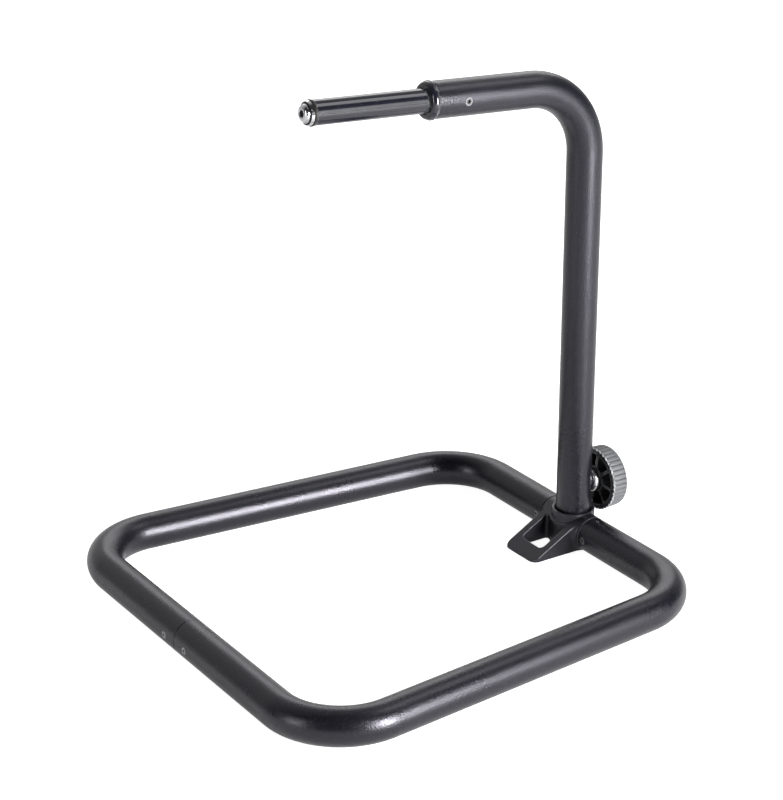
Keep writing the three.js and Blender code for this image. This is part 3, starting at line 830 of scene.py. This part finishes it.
footCasting = {
    "wedgeHalfWidth": 19.5,
    "wedgeFillet": 4,
    "barrelHalfLength": 24.5,
    "wedgeReach": 52.5,
    "tipThickness": 1.2,
    "tipCorner": 6,
    "windowFront": 40.5,
    "windowHalfWidth": 13,
    "windowCorner": 4,
    "windowFillet": 2.5,
    "windowLedge": 1.4,
    "collarRadius": 17,
    "collarHeight": 28.5,
    "socketRadius": 13.9,
    "socketFloor": 8,
    "rimChamfer": 1.1,
    "collarEdge": 0.6,
    "voxel": 0.42,
}
castingStub = {
    "radius": 11.3,
    "top": 70,
    "chamfer": 2,
    "boreRadius": 6.3,
    "boreRing": 9,
    "spigotRadius": 11.7,
    "spigotEnd": 46.5,
    "spigotChamfer": 1.5,
}


def castingSide(tubeRadius, halfWidth):
    # the tube's round, with a straight tangent down to the wedge's tip
    size = footCasting
    rise = tubeRadius - size["tipThickness"]
    distance = math.hypot(size["wedgeReach"], rise)
    slope = math.atan2(rise, size["wedgeReach"]) + math.asin(tubeRadius / distance)
    outline = arc((0, tubeRadius), tubeRadius, -90, 90 + math.degrees(slope), 48)
    outline += [(-size["wedgeReach"], size["tipThickness"]), (-size["wedgeReach"], 0)]
    return placed(slab(outline, -halfWidth, halfWidth), Matrix.Rotation(math.radians(90), 4, "X"))


def wedgePlan(tubeRadius):
    size = footCasting
    half, corner = size["wedgeHalfWidth"], size["tipCorner"]
    front = corner - size["wedgeReach"]
    outline = [(tubeRadius + 2, -half), (tubeRadius + 2, half)]
    outline += arc((front, half - corner), corner, 90, 180, 12)
    outline += arc((front, corner - half), corner, 180, 270, 12)
    return slab(outline, -2, 2 * tubeRadius + 2)


def castingBarrel(tubeRadius):
    # round between the tube ends, widening in a fillet up to each side of the wedge
    size = footCasting
    end, fillet = size["barrelHalfLength"], size["wedgeFillet"]
    filletEnd = size["wedgeHalfWidth"] + fillet
    outline = [(0, -end), (tubeRadius, -end)]
    outline += arc((tubeRadius + fillet, -filletEnd), fillet, 180, 90, 12)
    outline += arc((tubeRadius + fillet, filletEnd), fillet, 270, 180, 12)
    outline += [(tubeRadius, end), (0, end)]
    place = Matrix.Translation((0, 0, tubeRadius)) @ Matrix.Rotation(math.radians(-90), 4, "X")
    return placed(turned(outline, 96), place)


def windowCutter():
    size = footCasting
    fillet, half, corner = size["windowFillet"], size["windowHalfWidth"], size["windowCorner"]
    filletY = half - fillet
    wall = size["collarRadius"] + size["windowLedge"]
    filletX = -math.sqrt((wall + fillet) ** 2 - filletY**2)
    toward = math.degrees(math.atan2(filletY, filletX))
    front = corner - size["windowFront"]
    outline = arc((front, half - corner), corner, 90, 180, 10)
    outline += arc((front, corner - half), corner, 180, 270, 10)
    outline += arc((filletX, -filletY), fillet, -90, 180 - toward, 8)
    outline += arc((0, 0), wall, 360 - toward, toward, 24)[1:-1]
    outline += arc((filletX, filletY), fillet, toward - 180, 90, 8)
    return slab(outline, -3, size["collarHeight"] + 3)


def makeCastingBlock(tubeRadius):
    size = footCasting
    top, chamfer, edge = size["collarHeight"], size["rimChamfer"], size["collarEdge"]
    outer, inner, floor = size["collarRadius"], size["socketRadius"], size["socketFloor"]
    mouth = top + 3 - chamfer
    collar = turned([(0, 0), (outer, 0), (outer, top - edge), (outer - edge, top), (0, top)], 128)
    socket = turned([(0, floor), (inner, floor), (inner, top - chamfer), (inner + 3, mouth), (0, mouth)], 128)
    wedge = combined(castingSide(tubeRadius, size["wedgeHalfWidth"]), "INTERSECT", wedgePlan(tubeRadius))
    barrel = castingSide(tubeRadius, size["barrelHalfLength"])
    barrel = combined(castingBarrel(tubeRadius), "INTERSECT", barrel)
    block = combined(wedge, "UNION", barrel, collar)
    block = combined(block, "DIFFERENCE", windowCutter())
    block = combined(block, "DIFFERENCE", socket)
    block = modified(
        block,
        ("REMESH", {"mode": "VOXEL", "voxel_size": size["voxel"]}),
        ("SMOOTH", {"factor": 0.5, "iterations": 4}),
    )
    finished("foot_casting_block", block, castFinish, "base", ["foot_casting"], 60)


def makeCastingStub():
    size = castingStub
    radius, top, chamfer = size["radius"], size["top"], size["chamfer"]
    floor = footCasting["socketFloor"] - 1
    stub = turned([(0, floor), (radius, floor), (radius, top - chamfer), (radius - chamfer, top), (0, top)])
    for step in (-size["boreRing"], size["boreRing"]):
        ringAcross(stub, knobFrame.translation + Vector((0, 0, step)), (0, 0, 1))
    bore = placed(prism(64, size["boreRadius"], -5, radius + 2), knobFrame)
    stub = combined(rounded(stub, 0.4), "DIFFERENCE", bore)
    finished("foot_casting_stub", stub, castFinish, "base", ())


def makeCastingSpigot(side, sign, tubeRadius):
    size = castingStub
    start = footCasting["barrelHalfLength"] - 1.5
    radius, end, chamfer = size["spigotRadius"], size["spigotEnd"], size["spigotChamfer"]
    spigot = turned([(0, start), (radius, start), (radius, end - chamfer), (radius - chamfer, end), (0, end)])
    place = Matrix.Translation((0, 0, tubeRadius)) @ Matrix.Rotation(math.radians(-90 * sign), 4, "X")
    finished("foot_casting_spigot_" + side, placed(spigot, place), castFinish, "base", ())


def makeFootCasting():
    tubeRadius = nodeBox("base_tube_left")[1].z / 2
    makeCastingBlock(tubeRadius)
    makeCastingStub()
    makeCastingSpigot("left", 1, tubeRadius)
    makeCastingSpigot("right", -1, tubeRadius)


makeFootCasting()
print("foot casting made")

pegSize = {
    "radius": 9,
    "wall": 1.5,
    "start": 145.6,
    "end": 237.5,
    "plugRadius": 11.3,
    "plugDepth": 36,
    "flangeFace": 139.8,
    "flangeRadius": 14.2,
    "noseFace": 145,
    "noseRadius": 11,
    "recessRadius": 9.8,
    "recessDepth": 1.6,
    "holderBore": 6.3,
    "holderEdge": 0.25,
    "sleeveChamfer": 0.8,
    "sleeveEdge": 0.3,
    "ringCentre": 238.55,
    "ringRadius": 8.55,
    "ringSection": 0.9,
    "washerRadii": (8.9, 8.3),
    "washerHubRadius": 7.5,
    "washerEdge": 0.15,
    "washerTop": 241.9,
    "insetRadii": (5.5, 8),
    "boltBore": 3,
    "boltSeat": 242.2,
    "boltTop": 245.5,
    "boltEnd": 217.8,
    "boltHead": 6.8,
    "boltFlat": 3.6,
    "boltShank": 2.7,
    "boltSocket": 2.9,
}


def quarterDome(flat, run, low, high):
    # points from the rim at the low height up over to the flat at the high one
    turns = [math.radians(step) for step in range(0, 91, 10)]
    return [(flat + run * math.cos(turn), low + (high - low) * math.sin(turn)) for turn in turns]


def makePegHolder():
    size = pegSize
    flange, nose, edge = size["flangeFace"], size["noseFace"], size["holderEdge"]
    wide, narrow, plug = size["flangeRadius"], size["noseRadius"], size["plugRadius"]
    bore, recess, end = size["holderBore"], size["recessRadius"], postTube["armLength"] - size["plugDepth"]
    profile = [(bore, end), (plug - 0.8, end), (plug, end + 0.8), (plug, flange), (wide - edge, flange)]
    profile += [(wide, flange + edge), (wide, flange + 1.3), (wide - 0.3, flange + 1.65)]
    profile += quarterDome(narrow, wide - 0.45 - narrow, flange + 1.8, nose)
    profile += [(recess + edge, nose), (recess, nose - edge)]
    profile += [(recess, nose - size["recessDepth"]), (bore, nose - size["recessDepth"])]
    holder = placed(turned(profile, 128), armFrame)
    finished("peg_flange", holder, anodisedFinish, "post", ["peg_holder"], 25)


def makePegSleeve():
    size = pegSize
    outer, inner = size["radius"], size["radius"] - size["wall"]
    start, end = size["start"], size["end"]
    chamfer, edge = size["sleeveChamfer"], size["sleeveEdge"]
    profile = [(inner, start), (outer - chamfer, start), (outer, start + chamfer)]
    profile += [(outer, end - edge), (outer - edge, end), (inner, end)]
    sleeve = placed(turned(profile, 128), armFrame)
    finished("peg_outer_sleeve", sleeve, anodisedFinish, "peg", ["peg_sleeve"], 25)


def makePegTip():
    size = pegSize
    section = arc((size["ringRadius"], size["ringCentre"]), size["ringSection"], -90, 270, 20)[:-1]
    ring = placed(turned(section, 128), armFrame)
    finished("tip_ring", ring, ringFinish, "post", ["end_ring"], 60)

    start, face, top = size["end"] + 0.3, size["ringCentre"] + size["ringSection"] + 0.3, size["washerTop"]
    bore, hub, edge = size["boltBore"], size["washerHubRadius"], size["washerEdge"]
    rimRadius, topRadius = size["washerRadii"]
    profile = [(bore, start), (hub, start), (hub, face), (rimRadius - edge, face), (rimRadius, face + edge)]
    profile += [(topRadius + 0.1, top - edge), (topRadius - 0.1, top), (bore, top)]
    washer = placed(turned(profile, 128), armFrame)
    finished("tip_washer", washer, chromeFinish, "post", ["end_washer"], 25)

    head, shank, socket = size["boltHead"], size["boltShank"], size["boltSocket"]
    seat, crown, tip, flat = size["boltSeat"], size["boltTop"], size["boltEnd"], size["boltFlat"]
    profile = [(0, tip), (shank - 0.5, tip), (shank, tip + 0.5), (shank, seat), (head - 0.15, seat)]
    profile += [(head, seat + 0.15), (head, seat + 0.5)]
    profile += quarterDome(flat, head - 0.3 - flat, seat + 0.8, crown)
    profile += [(socket + 0.35, crown), (socket + 0.1, crown - 0.25), (0, crown - 0.25)]
    bolt = combined(turned(profile), "DIFFERENCE", prism(6, socket, seat + 1, crown + 1))
    finished("tip_bolt", placed(bolt, armFrame), chromeFinish, "post", ["end_bolt"], 30)
    # a black disc in the bolt's socket: painted shade
    boltSocketShade = placed(prism(48, socket + 0.15, seat + 0.6, seat + 1.1), armFrame)
    finished("tip_bolt_socket_shade_disc", boltSocketShade, ringFinish, "post", ())
    inner, outer = size["insetRadii"]
    inset = turned([(inner, top - 0.2), (outer, top - 0.2), (outer, top + 0.12), (inner, top + 0.12)])
    finished("tip_washer_inset", placed(inset, armFrame), ringFinish, "post", ())


makePegHolder()
makePegSleeve()
makePegTip()
print("peg made")

knobSize = {
    "radius": 25,
    "draft": 0.6,
    "outerFace": 34.6,
    "flutes": 38,
    "fluteDepth": 0.95,
    "fluteFacets": 12,
    "ridgeShape": 0.38,  # smaller for wider ridges and narrower grooves
    "gripInner": 23.1,
    "coreRadius": 22.8,
    "coreFace": 20.3,
    "rimWidth": 1.7,
    "spokes": 8,
    "spokeWidth": 1.9,
    "spokeTurn": 8,
    "hubRadius": 10.4,
    "hubRecess": (7.9, 9.3, 3),
    "pocketFloor": 30.6,
    "toothRadius": (24.1, 25.3),
    "toothEnd": 21.5,
    "boltRadius": 4,
    "boltPitch": 1.25,
    "boltTip": -8,
    "boltHead": (6.6, 5),
    "boltPocket": (6.9, 5.6),
    "washerBore": 4.3,
    "washerSeat": 13.9,
    "washerRadius": 9.3,
    "washerRounding": 2.6,
    "washerHeight": 3.6,
    "slipRadius": 7.8,
    "slipHeights": (0.3, 2.5),
    "capSeat": 32.9,
}


def flutedRing(bm, radius, depth, height, count, shift):
    # a ring of wide ridges with narrow grooves between them
    made = bmesh.ops.create_circle(
        bm,
        cap_ends=False,
        segments=count * knobSize["fluteFacets"],
        radius=radius,
        matrix=Matrix.Translation((0, 0, height)),
    )["verts"]
    for vert in made:
        angle = math.atan2(vert.co.y, vert.co.x)
        ridge = abs(math.sin(count * angle / 2 + shift)) ** knobSize["ridgeShape"]
        reach = (radius - depth * (1 - ridge)) / radius
        vert.co.x *= reach
        vert.co.y *= reach
    return list({edge for vert in made for edge in vert.link_edges})


def stackedRings(rings, count, shift=0):
    # rings of (radius, groove depth, height), bridged each to the next and the last to the first
    bm = bmesh.new()
    loops = [flutedRing(bm, radius, depth, height, count, shift) for radius, depth, height in rings]
    for lower, upper in zip(loops, loops[1:] + loops[:1]):
        bmesh.ops.bridge_loops(bm, edges=lower + upper)
    bmesh.ops.recalc_face_normals(bm, faces=bm.faces)
    return bm


def makeKnobGrip():
    size = knobSize
    low, high, wide = size["toothEnd"] + 0.05, size["outerFace"], size["radius"]
    narrow, deep = wide - size["draft"], size["fluteDepth"]
    grip = stackedRings(
        [
            (size["gripInner"], 0, low),
            (wide - 0.5, deep, low),
            (wide - 0.12, deep, low + 0.15),
            (wide, deep, low + 0.5),
            (narrow, deep, high - 1),
            (narrow - 0.2, deep, high - 0.5),
            (narrow - 0.6, 0.5 * deep, high - 0.1),
            (narrow - 1, 0, high),
            (size["gripInner"], 0, high),
        ],
        size["flutes"],
    )
    grip = placed(grip, knobFrame)
    finished("knob_fluted_grip", grip, gripFinish, "knob", ["knob_grip"], 40)


def makeKnobTeeth():
    size = knobSize
    inner, outer = size["toothRadius"]
    root, face, end = size["coreRadius"] - 0.5, size["coreFace"], size["toothEnd"]
    deep = outer - inner
    teeth = stackedRings(
        [
            (root, 0, face),
            (outer - 0.15, deep, face),
            (outer, deep, face + 0.15),
            (outer, deep, end),
            (root, 0, end),
        ],
        size["flutes"],
        math.pi / 2,
    )
    finished("knob_toothed_flange", placed(teeth, knobFrame), coreFinish, "knob", (), 40)


def pocketCutter(index):
    size = knobSize
    middle = math.radians(size["spokeTurn"]) + 2 * math.pi * (index + 0.5) / size["spokes"]
    half = math.pi / size["spokes"]
    outer, hub = size["coreRadius"] - size["rimWidth"], size["hubRadius"]
    outerHalf = half - math.asin(size["spokeWidth"] / 2 / outer)
    innerHalf = half - math.asin(size["spokeWidth"] / 2 / hub)
    outline = [(hub * math.cos(innerHalf), -hub * math.sin(innerHalf))]
    outline += arc((0, 0), outer, -math.degrees(outerHalf), math.degrees(outerHalf), 16)
    outline += [(hub * math.cos(innerHalf), hub * math.sin(innerHalf))]
    return placed(slab(outline, size["coreFace"] - 2, size["pocketFloor"]), Matrix.Rotation(middle, 4, "Z"))


def makeKnobCore():
    size = knobSize
    bore, rim = size["boltRadius"] + 0.3, size["coreRadius"]
    face, outer, cap = size["coreFace"], size["outerFace"], size["capSeat"]
    recessIn, recessOut, depth = size["hubRecess"]
    pocket, pocketDepth = size["boltPocket"]
    core = turned(
        [
            (bore, face),
            (recessIn, face),
            (recessIn, face + depth),
            (recessOut, face + depth),
            (recessOut, face),
            (rim, face),
            (rim, outer),
            (rim - 2.2, outer),
            (rim - 2.2, cap - 0.3),
            (pocket, cap - 0.3),
            (pocket, cap - pocketDepth),
            (bore, cap - pocketDepth),
        ],
        144,
    )
    for index in range(size["spokes"]):
        core = combined(core, "DIFFERENCE", pocketCutter(index))
    core = modified(
        core,
        ("BEVEL", {"width": 0.22, "segments": 2, "limit_method": "ANGLE", "angle_limit": math.radians(40)}),
    )
    core = placed(core, knobFrame)
    finished("knob_spoked_core", core, coreFinish, "knob", ["knob_core"], 40)


def makeKnobCap():
    size = knobSize
    radius, seat, face = size["coreRadius"] - 2.5, size["capSeat"], size["outerFace"]
    cap = turned(
        [
            (0, seat),
            (radius, seat),
            (radius, face - 0.6),
            (radius - 0.3, face - 0.2),
            (radius - 0.8, face),
            (radius - 3, face),
            (radius - 3.6, face - 0.5),
            (radius - 4.4, face - 0.6),
            (0, face - 0.25),
        ],
        128,
    )
    finished("knob_outer_cap", placed(cap, knobFrame), coreFinish, "knob", ["knob_cap"], 30)


def makeClampBolt():
    size = knobSize
    radius, pitch, tip = size["boltRadius"], size["boltPitch"], size["boltTip"]
    seat = size["capSeat"] - 5.3
    profile = [(0, tip), (radius - 1, tip)]
    height = tip + 1
    while height < size["washerSeat"] + 2:
        profile += [(radius - 0.6, height), (radius, height + pitch * 0.45), (radius, height + pitch * 0.55)]
        height += pitch
    profile += [(radius - 0.1, height), (radius - 0.1, seat + 1), (0, seat + 1)]
    bolt = placed(turned(profile), knobFrame)
    finished("clamp_bolt", bolt, steelFinish, "knob", ["knob_bolt"], 25)
    headRadius, headHeight = size["boltHead"]
    head = rounded(prism(6, headRadius, seat, seat + headHeight), 0.3)
    finished("clamp_bolt_head", placed(head, knobFrame), steelFinish, "knob", ())


def makeClampWashers():
    size = knobSize
    bore, seat, radius = size["washerBore"], size["washerSeat"], size["washerRadius"]
    back, rounding = seat + size["washerHeight"], size["washerRounding"]
    profile = [(bore, seat)] + arc((radius - rounding, seat + rounding), rounding, -90, 0, 10)
    profile += [(radius, back - 0.2), (radius - 0.2, back), (bore, back)]
    washer = placed(turned(profile, 128), knobFrame)
    finished("domed_washer", washer, washerFinish, "clamp", ["clamp_washer"], 25)
    start, end = [back + height for height in size["slipHeights"]]
    rim, edge = size["slipRadius"], 0.2
    profile = [(bore, start), (rim - edge, start), (rim, start + edge)]
    profile += [(rim, end - edge), (rim - edge, end), (bore, end)]
    slip = placed(turned(profile), knobFrame)
    finished("slip_disc", slip, coreFinish, "clamp", ["slip_washer"], 25)


makeKnobGrip()
makeKnobTeeth()
makeKnobCore()
makeKnobCap()
makeClampBolt()
makeClampWashers()
print("clamp knob made")

innerFinishes = {
    "seam_sleeve": steelFinish,
    "threaded_insert": steelFinish,
    "peg_axle": steelFinish,
    "inner_bush": brassFinish,
    "outer_bush": brassFinish,
    "thrust_washer": coreFinish,
}
for node, finish in innerFinishes.items():
    mesh = frame["nodes"][node].data
    mesh.materials.clear()
    mesh.materials.append(finish)
print("inner pieces finished")
